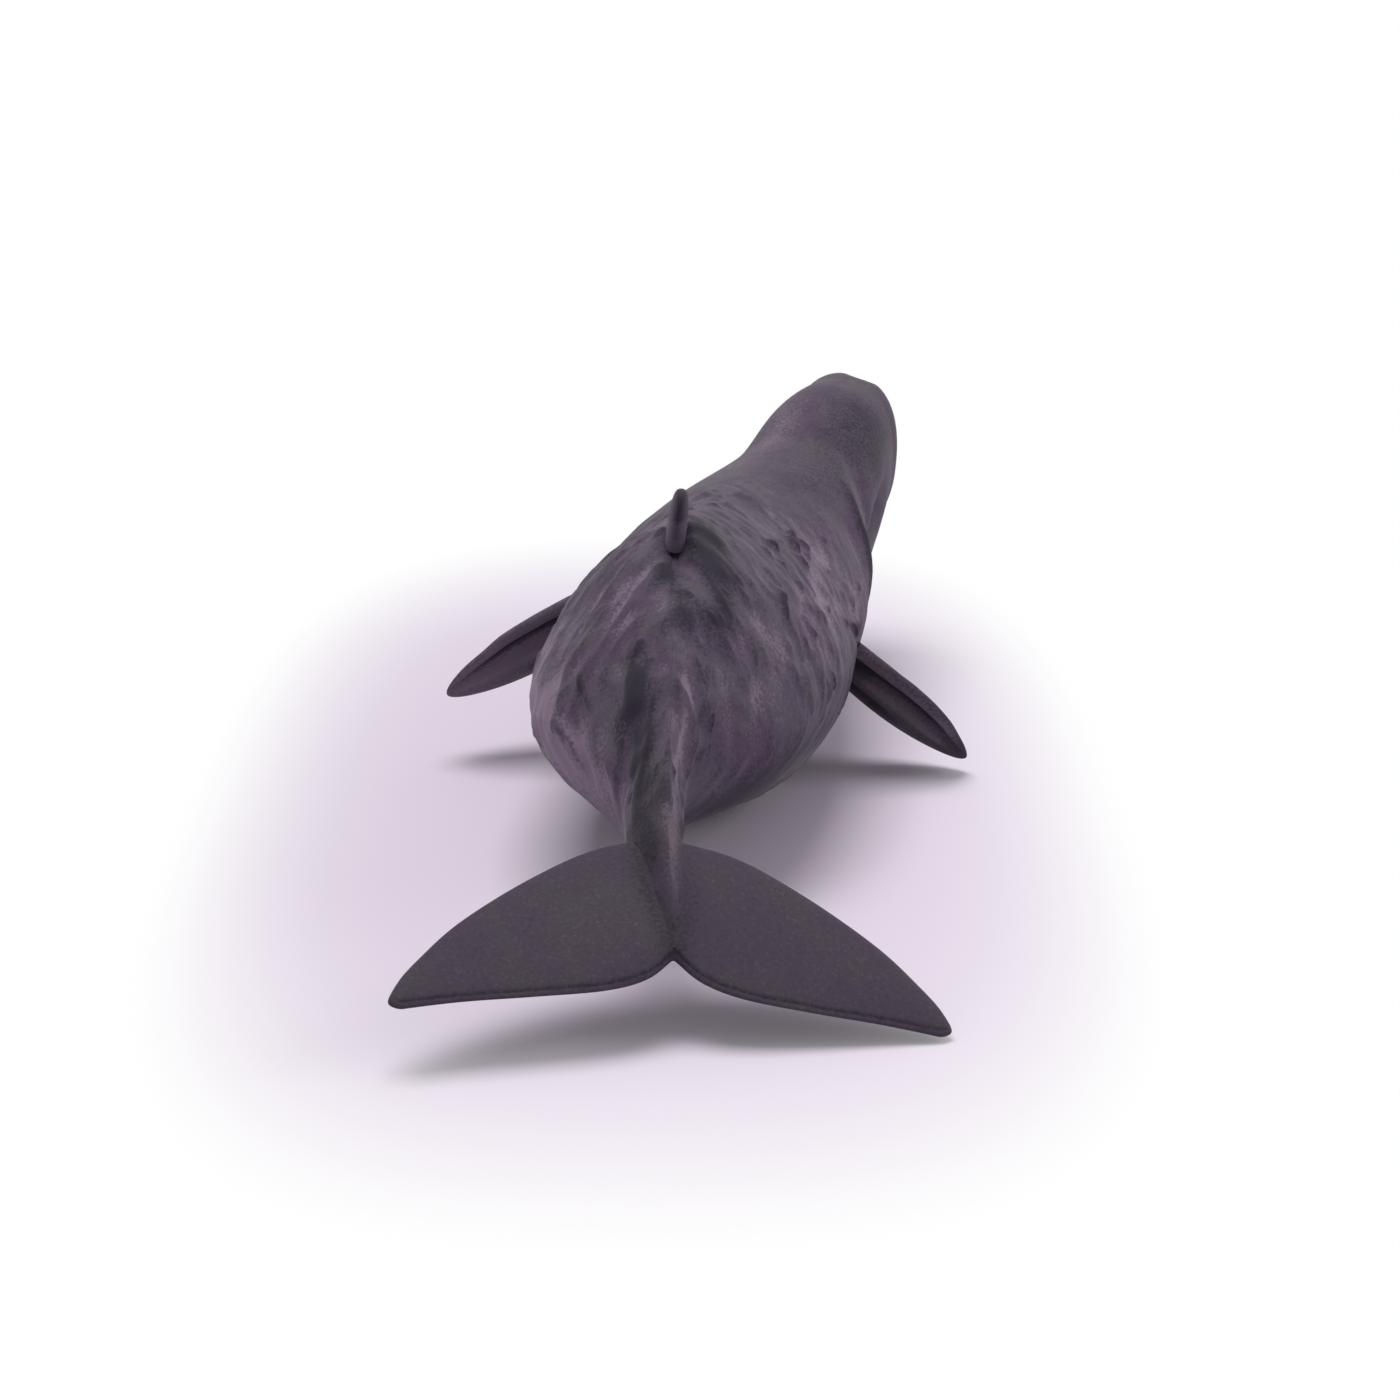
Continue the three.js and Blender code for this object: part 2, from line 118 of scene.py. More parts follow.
def skin_at(row, angle, turn=0.0, inset=0.0, shift=0.0):
    """Points on the body. Each section is a superellipse: across is the sine of the angle and rise
    is its cosine, each to the power 2 / fullness, times the half width and the height. The angle is
    0 at the back, positive to the right. Over the nose, turn shrinks the section as it moves on."""
    row, angle, turn = np.broadcast_arrays(np.asarray(row, float), angle, turn)
    size = curve_at(ROWS, row)
    forward, up, side = body_axes(row)
    shrink = np.clip(np.cos(turn), 0, 1) ** (2 / NOSE_FULLNESS)
    reach = np.sin(turn) ** (2 / NOSE_FULLNESS) * (NOSE_LENGTH - inset)
    sine, cosine = np.sin(angle), np.cos(angle)
    above = cosine > 0
    power = 2 / np.where(above, size[..., 6], size[..., 7])
    tall = np.where(above, size[..., 4], size[..., 5]) - inset
    across = np.sign(sine) * np.abs(sine) ** power * (size[..., 3] - inset) * shrink + shift
    rise = np.sign(cosine) * np.abs(cosine) ** power * tall * shrink
    moves = forward * reach[..., None] + side * across[..., None] + up * rise[..., None]
    return size[..., :3] + moves


NOISE_CELLS = 32  # to a side, before the noise repeats


def noise(points, size, seed):
    """Smooth random values from -1 to 1: random numbers on a lattice of cells, blended between."""
    lattice = np.random.default_rng(seed).uniform(-1, 1, [NOISE_CELLS] * 3)
    cell = np.floor(points / size).astype(int)
    share = smooth(points / size - cell, 0, 1)
    total = 0
    for corner in np.ndindex(2, 2, 2):
        weight = np.prod(np.where(corner, share, 1 - share), axis=-1)
        i, j, k = np.moveaxis((cell + corner) % NOISE_CELLS, -1, 0)
        total = total + weight * lattice[i, j, k]
    return total


def streaks(points, flow, length, size, seed):
    """Noise smeared along the directions of flow, so that it looks drawn out into furrows. It is about
    the weighted mean of the noise at places up to half the length away, made as strong as before."""
    total = 0
    for share in np.linspace(-1, 1, 11):
        weight = (1 - 0.8 * share * share) / 8
        total = total + weight * noise(points + flow * share * length / 2, size, seed)
    return total * math.sqrt(length / size)


def spot(away, width):
    """1 where away is 0 and nearly 0 at twice the width: a bell curve."""
    return np.exp(-((away / width) ** 2))


STROKE_STEPS = 24


def stroke(points, rows, angles, width):
    """1 along a line drawn on the skin, and nearly 0 at twice the width from it. The line runs
    through places given as rows and angles, and fades towards its two ends."""
    knots = np.linspace(0, 1, len(rows))
    along = np.linspace(0, 1, STROKE_STEPS + 1)
    line = skin_at(np.interp(along, knots, rows), np.interp(along, knots, angles))
    middle = line.mean(0)
    reach = np.linalg.norm(line - middle, axis=-1).max() + 2.6 * width
    near = np.linalg.norm(points - middle, axis=-1) < reach
    chosen = points[near]
    best = np.zeros(len(chosen))
    for start, end, share in zip(line, line[1:], along):
        step = end - start
        part = np.clip(((chosen - start) @ step) / (step @ step), 0, 1)
        away = np.linalg.norm(chosen - start - part[:, None] * step, axis=-1)
        end_fade = np.sin(math.pi * (share + part / STROKE_STEPS)) ** 0.5
        best = np.maximum(best, end_fade * spot(away, width))
    mark = np.zeros(points.shape[:-1])
    mark[near] = best
    return mark


# Folds, hollows and shades of the skin: the rows and angles that each one runs through, its width and
# how far it is raised, in mm, and how dark it is painted, less than 0 for paler. The dark paint in
# creases, grooves and hollows is painted shade, and the paler paint on raised folds and edges is painted
# highlight. Positive angles are on the right.
FOLDS = [
    # The edge of the head, the folds behind it, the hollow of the neck and the cheek.
    ([9.3, 9.05, 8.88, 8.75], [0.35, 0.8, 1.25, 1.7], 3.0, 1.0, -0.4),
    ([8.85, 8.62, 8.5, 8.35], [0.75, 1.08, 1.4, 1.9], 2.2, -1.4, 1.3),
    ([8.45, 8.28, 8.2, 8.1], [0.9, 1.15, 1.4, 1.8], 2.4, 0.8, -0.4),
    ([8.5, 8.0, 7.6, 7.3], [0.3, 0.65, 0.95, 1.15], 6.5, -1.0, 0.2),
    ([8.4, 8.1, 7.9], [-1.0, -1.5, -2.0], 2.6, -0.6, 0.3),
    ([10.0, 9.3, 8.68], [1.5, 1.58, 1.66], 5.5, 3.9, 0),
    # Left and right of the fin, the hollow beside it, and the rise of the skin behind it.
    ([4.84, 4.57, 4.40, 4.16, 3.9], [-0.02, -0.28, -0.41, -0.58, -0.8], 1.2, 0.8, -0.9),
    ([4.65, 4.45, 4.25, 3.95], [-0.06, -0.16, -0.3, -0.42], 1.9, -0.7, 1.0),
    ([5.0, 4.7, 4.5, 4.2], [-0.33, -0.55, -0.7, -0.9], 1.3, 0.6, -0.7),
    ([4.82, 4.53, 4.35, 4.1], [0.04, 0.28, 0.42, 0.5], 1.2, 0.7, -0.8),
    ([5.6, 5.1, 4.7], [0.15, 0.3, 0.4], 4.2, -0.8, 1.1),
    ([5.1, 4.85, 4.6, 4.2], [0.0, 0.0, 0.0, 0.0], 3.0, 3.4, 0.4),
    # Wrinkles across the back, in front of the fin.
    ([7.6, 7.2, 6.75], [-0.45, -0.2, 0.12], 0.9, 0.5, -0.7),
    ([7.3, 6.9, 6.5], [-0.35, -0.1, 0.2], 0.9, 0.55, -0.7),
    ([6.95, 6.6, 6.25], [-0.25, 0.0, 0.25], 0.9, 0.5, -0.7),
    ([7.75, 7.5, 7.2], [-0.3, -0.1, 0.2], 0.9, 0.4, -0.5),
    ([7.45, 7.05, 6.65], [-0.4, -0.15, 0.16], 1.0, -0.4, 0.5),
    ([7.1, 6.75, 6.4], [-0.3, -0.05, 0.23], 1.0, -0.4, 0.5),
    # Into the tail: two on the left, two on the right, the painted shade in the hollow left of the
    # tail's ridge, and the painted highlight on the ridge's edge.
    ([3.55, 3.41, 3.22, 2.95], [-0.7, -1.05, -1.4, -1.65], 2.0, -0.7, 0.5),
    ([3.75, 3.43, 3.24], [-1.3, -1.6, -2.0], 1.4, 0.5, -0.6),
    ([3.35, 3.25, 3.1, 2.8], [0.3, 0.6, 0.85, 1.1], 1.6, -0.5, 0.5),
    ([3.3, 3.0, 2.6, 1.9, 1.1], [1.0, 1.1, 1.0, 0.95, 0.95], 1.0, -0.5, 0.9),
    (
        [3.66, 3.42, 3.1, 2.75, 2.35, 1.8, 1.2],
        [-0.4, -0.62, -0.8, -0.9, -0.85, -0.8, -0.8],
        4.8, -0.7, 2.0,
    ),
    ([3.5, 3.2, 2.86, 2.3, 1.6, 0.9], [0.36, 0.5, 0.62, 0.55, 0.5, 0.5], 2.4, 0.3, -1.3),
    ([3.45, 3.35, 3.22], [0.35, 0.47, 0.74], 0.7, 0.4, -1.2),
    # Short creases of the right flank, and the skin round its flipper.
    ([6.42, 6.28, 6.12], [0.72, 0.79, 0.86], 1.0, -0.8, 1.2),
    ([6.12, 6.03, 5.94], [0.56, 0.61, 0.66], 0.8, -0.6, 0.9),
    ([5.25, 5.0, 4.75], [0.8, 0.88, 0.96], 1.1, -0.9, 1.2),
    ([5.72, 5.56, 5.4], [0.98, 1.05, 1.12], 1.0, -0.8, 1.1),
    ([5.0, 4.92, 4.8], [1.08, 1.12, 1.16], 0.9, -0.7, 1.0),
    ([4.25, 4.18, 4.08], [0.81, 0.85, 0.9], 0.9, -0.6, 0.9),
    ([5.58, 5.48, 5.38], [0.32, 0.36, 0.4], 0.9, -0.5, 0.8),
    ([6.2, 6.05, 5.85], [0.9, 0.97, 1.05], 1.3, 0.6, -0.5),
    ([5.6, 5.3, 5.1], [0.9, 0.98, 1.05], 1.2, 0.5, -0.5),
    ([7.35, 7.2, 7.0], [1.2, 1.3, 1.55], 0.7, 0.5, -1.2),
    ([6.9, 6.6, 6.3, 5.9], [1.3, 1.45, 1.65, 1.95], 3.6, -0.6, 0.9),
    # Short creases of the left flank.
    ([3.85, 3.7, 3.5], [-0.95, -1.0, -1.08], 1.0, -0.7, 1.0),
    ([4.2, 4.05, 3.9], [-0.95, -1.05, -1.15], 1.0, 0.6, -0.8),
    ([3.75, 3.6, 3.45], [-1.4, -1.5, -1.65], 0.9, -0.6, 0.9),
    # Paler and darker areas. Some are painted light and shade: the left flank and the left of the head
    # are painted paler, as painted light, and the underside of the belly, the lower right flank, the
    # hollow beside the fin and the right edge of the head darker, as painted shade. The others are paler
    # and darker areas on the neck, the back, the head and the right flank.
    ([8.2, 7.6, 7.1], [1.25, 1.35, 1.4], 5, 0, -0.5),
    ([5.6, 4.6, 3.9, 3.5, 2.9], [-1.4, -1.45, -1.6, -1.86, -2.1], 9, 0, -1.6),
    ([5.2, 4.7, 4.2, 3.6], [0.3, 0.45, 0.5, 0.4], 7, -0.3, 1.0),
    ([4.75, 4.5, 4.25, 3.95], [0.08, 0.1, 0.12, 0.12], 4, 0, 0.6),
    ([5.8, 4.9, 4.3, 3.9, 3.56, 3.2, 2.8], [1.95, 1.98, 2.02, 2.1, 2.2, 2.32, 2.5], 7, 0, 1.5),
    ([5.3, 4.8, 4.3, 3.9], [1.45, 1.55, 1.62, 1.7], 7, 0, 0.3),
    ([7.6, 7.3, 6.9, 6.5], [1.1, 1.2, 1.35, 1.35], 4.5, 0, -0.3),
    ([10.2, 9.5, 8.8, 8.2], [-0.45, -0.35, -0.4, -0.5], 5, 0, -0.6),
    ([10.8, 10.0, 9.1], [1.0, 0.95, 1.05], 9, 0, 0.9),
    ([10.2, 9.6, 8.9, 8.1], [0.4, 0.4, 0.5, 0.6], 8, 0, 0.6),
    ([7.6, 6.8, 6.0, 5.2], [0.75, 0.9, 1.0, 1.1], 7, 0, -0.8),
]
FOLDS_OF_EACH_SIDE = [
    # The upper and the lower lid of the eye, the line of the mouth and two grooves of the throat.
    ([8.68, 8.85, 9.05, 9.22], [1.9, 1.83, 1.83, 1.9], 1.1, 0.7, 0.2),
    ([8.7, 8.88, 9.03, 9.2], [1.98, 2.03, 2.03, 1.98], 1.0, 0.5, 0.2),
    ([8.3, 9.2, 10.2, 10.9], [2.35, 2.3, 2.3, 2.35], 0.8, -0.7, 0.8),
    ([7.5, 8.0], [2.75, 2.72], 0.7, -0.5, 0.6),
    ([7.45, 7.95], [2.5, 2.45], 0.7, -0.5, 0.6),
]
for rows, angles, *marks in FOLDS_OF_EACH_SIDE:
    FOLDS += [(rows, [hand * angle for angle in angles], *marks) for hand in (1, -1)]

# Streaks, slits and the blowhole: their sizes are in mm, and its place is an angle and a turn.
BROAD_LENGTH, BROAD_WIDTH, BROAD_HEIGHT = 12, 4.2, 0.6
SHORT_LENGTH, SHORT_WIDTH, SHORT_HEIGHT = 5.5, 2.4, 0.55
SLIT_LENGTH, SLIT_WIDTH, SLIT_DEPTH = 6, 2.1, 1.5
FURROW_HEIGHT = 0.85
BLOWHOLE_ANGLE, BLOWHOLE_TURN = 0.12, 0.35
BLOWHOLE_WIDTH, BLOWHOLE_HEIGHT = 2.6, 2.1
DENT_WIDTH, DENT_DEPTH = 0.7, 0.9


def skin_relief(row, angle, points, normal):
    """How far the skin of the body is raised, in mm, how furrowed it is, from -1 in a furrow to 1 on
    a crest, and how dark it is painted, below 0 for paler: painted shade in creases and hollows, painted
    highlights on raised folds, painted light and shade on the flanks, the belly and the head, and darker
    and paler areas. The furrows are streaks of two sizes and slits, all drawn out backwards and, near
    the fin, fanned out to the sides. They fade on the head and under the belly."""
    # The directions that the streaks follow, along the skin.
    side = body_axes(row)[2]
    across = ((points - curve_at(ROWS, row)[..., :3]) * side).sum(-1)
    near_fin = smooth(row, 3.2, 4.2) * (1 - smooth(row, 5.2, 7.2))
    fan = np.tanh(across / (9 * MM)) * (0.15 + 0.85 * near_fin)
    wander = noise(points, 14 * MM, 11)[..., None] * np.array([0.5, 0, 0])
    flow = fan[..., None] * side + np.array([0, -1, -0.9]) + wander
    flow = unit(flow - normal * (flow * normal).sum(-1)[..., None])
    # Where they are: all over the trunk, calmer to the right of the tail, sharper on the right flank.
    outward = np.abs(angle)
    right = smooth(angle, 0.25, 0.6)
    trunk = (1 - smooth(row, 7.0, 8.2)) * (1 - 0.7 * smooth(outward, 1.5, 2.2))
    calm = 1 - 0.6 * right * smooth(row, 4.9, 4.2) * smooth(outward, 0.9, 1.2)
    flank = right * smooth(row, 4.6, 5.4) * (1 - smooth(outward, 1.35, 1.75))
    patch = smooth(noise(points, 11 * MM, 13), -0.5, 0.5)
    # How high they are, then the blowhole and the folds.
    broad = np.tanh(1.5 * streaks(points, flow, BROAD_LENGTH * MM, BROAD_WIDTH * MM, 3))
    short = np.tanh(1.5 * streaks(points, flow, SHORT_LENGTH * MM, SHORT_WIDTH * MM, 5))
    slits = streaks(points, flow, SLIT_LENGTH * MM, SLIT_WIDTH * MM, 7)
    slits = smooth(slits, 0.5, 1.0) * (0.3 + 0.7 * patch) * (0.55 + 0.45 * flank)
    lumps = BROAD_HEIGHT * broad * (1 - 0.3 * flank) + SHORT_HEIGHT * short * (0.4 + 0.6 * patch)
    furrow = trunk * calm * (lumps - SLIT_DEPTH * slits)
    away = np.linalg.norm(points - skin_at(LAST_ROW, BLOWHOLE_ANGLE, BLOWHOLE_TURN), axis=-1) / MM
    blowhole = BLOWHOLE_HEIGHT * spot(away, BLOWHOLE_WIDTH) - DENT_DEPTH * spot(away, DENT_WIDTH)
    raised = FURROW_HEIGHT * furrow + blowhole
    wash = np.zeros_like(raised)
    for rows, angles, width, height, dark in FOLDS:
        mark = stroke(points, rows, angles, width * MM)
        raised = raised + height * mark
        wash = wash + dark * mark
    return raised, furrow, wash


def ring_faces(rings, steps, closed, first=0):
    """Quads between points laid out as rings, each of so many steps, from an index onwards."""
    index = first + np.arange(rings * steps).reshape(rings, steps)
    around = np.concatenate([index, index[:, :1]], axis=1) if closed else index
    corners = [around[:-1, :-1], around[:-1, 1:], around[1:, 1:], around[1:, :-1]]
    return np.stack(corners, axis=-1).reshape(-1, 4).tolist()


def strip_faces(one, other):
    """Quads between two rows of indices of the same length."""
    return np.stack([one[:-1], one[1:], other[1:], other[:-1]], axis=-1).tolist()


def tube(loops, first=0):
    """Points and faces of loops skinned one to the next, closed by a point at each end."""
    rings, steps, _ = loops.shape
    points = np.concatenate([loops.reshape(-1, 3), loops[0].mean(0)[None], loops[-1].mean(0)[None]])
    faces = ring_faces(rings, steps, True, first)
    back, front = first + rings * steps, first + rings * steps + 1
    ring = np.arange(steps)
    after = (ring + 1) % steps
    last = first + (rings - 1) * steps
    faces += [[b, a, back] for a, b in zip(first + ring, first + after)]
    faces += [[a, b, front] for a, b in zip(last + ring, last + after)]
    return points, faces


SHARP_ANGLE = 55


def make_piece(name, points, faces, material, slot, nodes=(), painted=()):
    """A closed smooth mesh in the frame's place, facing outwards, that rides on the object.
    painted holds a value for each point under each name, which the material reads."""
    mesh = bpy.data.meshes.new(name)
    mesh.from_pydata(points + PLACE, [], faces)
    for label, values in dict(painted).items():
        layer = mesh.attributes.new(label, "FLOAT", "POINT")
        layer.data.foreach_set("value", np.asarray(values, np.float32).ravel())
    edit = bmesh.new()
    edit.from_mesh(mesh)
    bmesh.ops.remove_doubles(edit, verts=edit.verts, dist=1e-7)
    bmesh.ops.recalc_face_normals(edit, faces=edit.faces)
    edit.to_mesh(mesh)
    edit.free()
    mesh.shade_smooth()
    mesh.set_sharp_from_angle(angle=math.radians(SHARP_ANGLE))
    mesh.materials.append(material)
    made = bpy.data.objects.new(name, mesh)
    bpy.context.scene.collection.objects.link(made)
    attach(made, "root")
    if nodes:
        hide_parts(*nodes)
    return made


class Signal:
    """A socket of a node tree that adds, multiplies and so on like a number."""

    def __init__(self, tree, socket=None):
        self.tree = tree
        self.socket = socket

    def node(self, kind, settings=(), values=(), out=0):
        """Adds any node. Settings are set first; values are numbers, colours or signals."""
        made = self.tree.nodes.new(kind)
        for name, value in dict(settings).items():
            setattr(made, name, value)
        for name, value in dict(values).items():
            if isinstance(value, Signal):
                self.tree.links.new(value.socket, made.inputs[name])
            else:
                made.inputs[name].default_value = value
        return Signal(self.tree, made.outputs[out] if made.outputs else None)

    def maths(self, operation, first, second):
        return self.node("ShaderNodeMath", {"operation": operation}, {0: first, 1: second})

    def __add__(self, other):
        return self.maths("ADD", self, other)

    def __sub__(self, other):
        return self.maths("SUBTRACT", self, other)

    def __rsub__(self, other):
        return self.maths("SUBTRACT", other, self)

    def __mul__(self, other):
        return self.maths("MULTIPLY", self, other)

    def __truediv__(self, other):
        return self.maths("DIVIDE", self, other)

    def __rtruediv__(self, other):
        return self.maths("DIVIDE", other, self)

    def __pow__(self, other):
        return self.maths("POWER", self, other)

    __radd__ = __add__
    __rmul__ = __mul__

    def between(self, low, high):
        """0 at low, 1 at high and an S-curve between them."""
        settings = {"interpolation_type": "SMOOTHSTEP"}
        values = {"Value": self, "From Min": low, "From Max": high}
        return self.node("ShaderNodeMapRange", settings, values)

    def mix(self, low, high):
        """The colour low where this is 0 and high where it is 1."""
        return self.node("ShaderNodeMix", {"data_type": "RGBA"}, {0: self, 6: low, 7: high}, out=2)


def new_material(name):
    """An empty material and the start of its node tree."""
    material = bpy.data.materials.new(name)
    material.use_nodes = True
    material.node_tree.nodes.clear()
    return material, Signal(material.node_tree)


def colour(screen):
    """A screen colour, as red, green and blue up to 255, as the linear colour that a shader takes."""
    share = np.array(screen) / 255
    linear = np.where(share < 0.04045, share / 12.92, ((share + 0.055) / 1.055) ** 2.4)
    return (*linear.tolist(), 1.0)


CLOUD_SCALE, MOTTLE_SCALE, GRAIN_SCALE = 70, 320, 1300  # cells to a metre
GRAIN_HEIGHT = 0.0001


def painted_vinyl(name, dark, plain, grey, pale, roughness):
    """Matt vinyl with clouds of two colours, plain and grey, painted shade in the furrows and painted
    highlights on the crests. It reads two attributes of the mesh: relief, from -1 in a furrow to 1 on a
    crest, and wash, which darkens the paint, for painted shade and darker areas, or pales it
    below 0, for painted light and paler areas."""
    dark, plain, grey, pale = map(colour, (dark, plain, grey, pale))
    material, start = new_material(name)
    relief = start.node("ShaderNodeAttribute", {"attribute_name": "relief"}, out=2)
    wash = start.node("ShaderNodeAttribute", {"attribute_name": "wash"}, out=2)
    place = start.node("ShaderNodeTexCoord", out=3)
    cloud, mottle, grain = (
        start.node("ShaderNodeTexNoise", values={"Vector": place, "Scale": scale, "Detail": detail})
        for scale, detail in ((CLOUD_SCALE, 3), (MOTTLE_SCALE, 4), (GRAIN_SCALE, 2))
    )
    # crest is high for the painted highlights, on the crests and where the paint is paled, and low for
    # the painted shade, in the furrows and where the paint is darkened; the noise adds tone at random.
    crest = relief + (cloud - 0.5) * 0.5 + (grain - 0.5) * 2.0 - wash
    tone = (cloud + (mottle - 0.5) * 0.7).between(0.34, 0.66).mix(plain, grey)
    tone = crest.between(0, 1.4).mix(tone, pale)
    tone = (crest * -1).between(0, 1.4).mix(tone, dark)
    bump = {"Height": grain, "Strength": 0.25, "Distance": GRAIN_HEIGHT}
    normal = start.node("ShaderNodeBump", values=bump)
    values = {"Base Color": tone, "Roughness": roughness, "Normal": normal}
    values |= {"Specular IOR Level": 0.16, "Sheen Weight": 0.08, "Sheen Roughness": 0.45}
    shader = start.node("ShaderNodeBsdfPrincipled", values=values)
    start.node("ShaderNodeOutputMaterial", values={"Surface": shader})
    return material


SHELL_RINGS, NOSE_RINGS, OUTER_STEPS, INNER_STEPS = 400, 30, 190, 28
FINE_SHARE = 0.8  # of the rings and of the steps lie closer, on the wrinkled part of the skin
FINE_ROW, FINE_ANGLE = 8.6, 2.0


def half_shell(name, hand, material):
    """One half of the body, the left one where hand is -1: an outer skin with relief, an inner skin a
    wall's thickness inside it, flat rims that join the two along the back and the belly, and a solid
    end at the tail."""
    rings, nose_rings, steps, inner_steps = SHELL_RINGS, NOSE_RINGS, OUTER_STEPS, INNER_STEPS
    row = np.interp(np.linspace(0, 1, rings), [0, FINE_SHARE, 1], [TAIL_JOINT, FINE_ROW, LAST_ROW])
    row = np.concatenate([row, np.full(nose_rings, LAST_ROW)])
    turn = np.concatenate([np.zeros(rings), np.linspace(0, math.pi / 2, nose_rings + 1)[1:]])
    row, turn = row[:, None], turn[:, None]
    half_turn = np.interp(np.linspace(0, 1, steps), [0, FINE_SHARE, 1], [0, FINE_ANGLE, math.pi])
    outer = skin_at(row, hand * half_turn, turn, shift=hand * SEAM / 2)
    normal = unit(np.cross(np.gradient(outer, axis=0), np.gradient(outer, axis=1)) * hand)
    raised, furrow, wash = skin_relief(row, hand * half_turn, outer, normal)
    raised = raised * (1 - smooth(turn, 0.6, 1.2))
    side = body_axes(row)[2]
    middle = smooth(np.sin(half_turn), 0, 0.15)
    lift = unit(normal - side * ((normal * side).sum(-1) * (1 - middle))[..., None])
    outer = outer + lift * raised[..., None] * MM
    outer[..., 2] = np.maximum(outer[..., 2], 0)
    inner_turn = np.linspace(0, math.pi, inner_steps)
    inner = skin_at(row, hand * inner_turn, turn, WALL, hand * SEAM / 2)
    core = curve_at(ROWS, row)[..., :3] + side * hand * SEAM / 2
    hollow = np.where(turn > 0, 1, 0.02 + 0.98 * smooth(row, HOLLOW_START - 0.2, HOLLOW_START + 0.3))
    inner = core + (inner - core) * hollow[..., None]
    inner[..., 2] = np.maximum(inner[..., 2], WALL)
    count = len(row)
    first_inner = count * steps
    outer_index = np.arange(first_inner).reshape(count, steps)
    inner_index = first_inner + np.arange(count * inner_steps).reshape(count, inner_steps)
    faces = ring_faces(count, steps, False) + ring_faces(count, inner_steps, False, first_inner)
    faces += strip_faces(outer_index[:, 0], inner_index[:, 0])
    faces += strip_faces(outer_index[:, -1], inner_index[:, -1])
    faces.append(outer_index[0].tolist() + inner_index[0, ::-1].tolist())
    points = np.concatenate([outer.reshape(-1, 3), inner.reshape(-1, 3)])
    hidden = np.zeros(count * inner_steps)
    painted = {
        "relief": np.concatenate([np.clip(furrow, -1, 1).ravel(), hidden]),
        "wash": np.concatenate([wash.ravel(), hidden]),
    }
    look = "left_half" if hand < 0 else "right_half"
    return make_piece(look, points, faces, material, "wrinkled_skin", [name], painted)


# The CAD frame's origin is under the middle of the figurine: the body is drawn round the notch, so
# it is moved by the difference between the two body halves' box there and its own box here.
left_box, right_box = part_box("body_left"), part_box("body_right")
around = np.linspace(-math.pi, math.pi, 200)
trunk = skin_at(np.linspace(TAIL_JOINT, LAST_ROW, 200)[:, None], around)
nose = skin_at(LAST_ROW, around, np.linspace(0, math.pi / 2, 40)[:, None])
drawn = np.concatenate([trunk, nose]).reshape(-1, 3)
PLACE = np.array([
    min(left_box[0].x, right_box[0].x) - drawn[:, 0].min(),
    max(left_box[1].y, right_box[1].y) - drawn[:, 1].max(),
    0,
])

# dark is the colour of the painted shade in the furrows and the darkest painted areas, pale that of the
# painted highlights on the crests and the palest painted areas; plain and grey are the vinyl's own
# colours.
skin = painted_vinyl(
    "wrinkled_vinyl",
    dark=(37, 30, 44),
    plain=(78, 64, 83),
    grey=(84, 76, 87),
    pale=(130, 114, 131),
    roughness=0.65,
)
half_shell("body_left", -1, skin)
half_shell("body_right", 1, skin)

# Tail flukes: one solid vinyl moulding, a thin blade across the end of the tail stock. The stock's
# end is plugged into the body and glued.
FLUKE_HALF_SPAN = 0.055
FLUKE_ROOT_CHORD = 0.031
# The edges run through places out from the middle, as shares of the half span, and forward from the
# notch, as shares of the root chord.
LEADING_EDGE = np.array([[0, 1], [0.25, 0.885], [0.5, 0.6], [0.75, 0.22], [0.9, -0.1], [1, -0.36]])
TRAILING_EDGE = np.array([[0, 0], [0.1, -0.175], [0.25, -0.285], [0.5, -0.36], [0.75, -0.42], [1, -0.5]])
FLUKE_ROOT_THICKNESS = 0.007
FLUKE_TIP_THICKNESS = 0.0024
FLUKE_TIP_ROUND = 0.003
FLUKE_DROOP = {-1: 0.0023, 1: 0.0033}
FLUKE_BEND = {-1: 0.0, 1: 0.003}
FLUKE_PITCH, FLUKE_LEAN, FLUKE_YAW = 28, 8.2, 3.5
FLUKE_GROOVE_IN, FLUKE_GROOVE_WIDTH, FLUKE_GROOVE_DEPTH = 0.0011, 0.00045, 0.00016
BESIDE_STOCK_ANGLE, BESIDE_STOCK_WIDTH, BESIDE_STOCK_HEIGHT = 1.5, 0.0024, 0.0005
STOCK_START = 0.1  # the row of the stock's rear end, inside the blade


def turned(*turns):
    """The three axes after turns in degrees about named axes, the last one done first."""
    total = Matrix.Identity(3)
    for axis, angle in turns:
        total = total @ Matrix.Rotation(math.radians(angle), 3, axis)
    return np.array(total).T


def edge_at(places, out):
    """How far forward an edge of the flukes is, in metres, at shares of the half span."""
    line = curve_at(places, np.linspace(0, len(places) - 1, 2000))
    return np.interp(out, line[:, 0], line[:, 1]) * FLUKE_ROOT_CHORD


